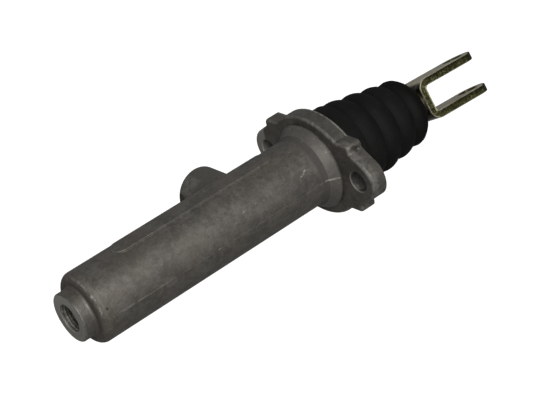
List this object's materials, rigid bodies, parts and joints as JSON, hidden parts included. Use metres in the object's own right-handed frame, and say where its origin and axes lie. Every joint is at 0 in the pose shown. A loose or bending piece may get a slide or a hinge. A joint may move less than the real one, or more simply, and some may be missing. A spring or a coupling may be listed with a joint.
{
  "type": "clutch master cylinder",
  "caption": "Flange-mounted cast iron clutch master cylinder with a side inlet, an end outlet, a rubber boot and a fork on the pushrod.",
  "frame": {"origin": "middle of the two bolt holes in the flange's rear face, on the axis of the bore", "axes": "+X along the bore towards the fork, +Y the way the inlet boss points, +Z towards the raised pad on the barrel"},
  "size_m": [0.2574, 0.0888, 0.0526],
  "materials": {
    "iron": "as cast and blasted, machined at the ports and the flange face",
    "piston_metal": "turned and polished",
    "steel": "zinc plated",
    "spring_steel": "oiled",
    "rod_steel": "yellow passivated zinc",
    "passivated_steel": "yellow passivated zinc",
    "seal_rubber": "smooth moulded",
    "boot_rubber": "matte moulded"
  },
  "bodies": {
    "cylinder": {"cylinder_body": "iron", "stop_washer": "steel", "snap_ring": "spring_steel", "boot": "boot_rubber"},
    "piston": {"piston": "piston_metal", "cup_washer": "steel", "primary_cup": "seal_rubber", "secondary_cup": "seal_rubber", "spring_seat": "steel", "return_spring": "spring_steel"},
    "pushrod": {"pushrod": "rod_steel", "fork": "passivated_steel"}
  },
  "joints": [
    {"name": "stroke", "type": "slide", "parent": "cylinder", "child": "piston", "axis": [-1, 0, 0], "range_m": [0, 0.03], "stiffness_N_per_m": 2500, "springref_m": -0.024, "deforming": ["return_spring", "boot"]},
    {"name": "rod_swivel", "type": "hinge", "parent": "piston", "child": "pushrod", "pos_m": [0.0008, 0, 0], "axis": [0.0349, 0.4224, 0.9058], "range_deg": [-2.5, 2.5], "deforming": ["boot"]}
  ]
}
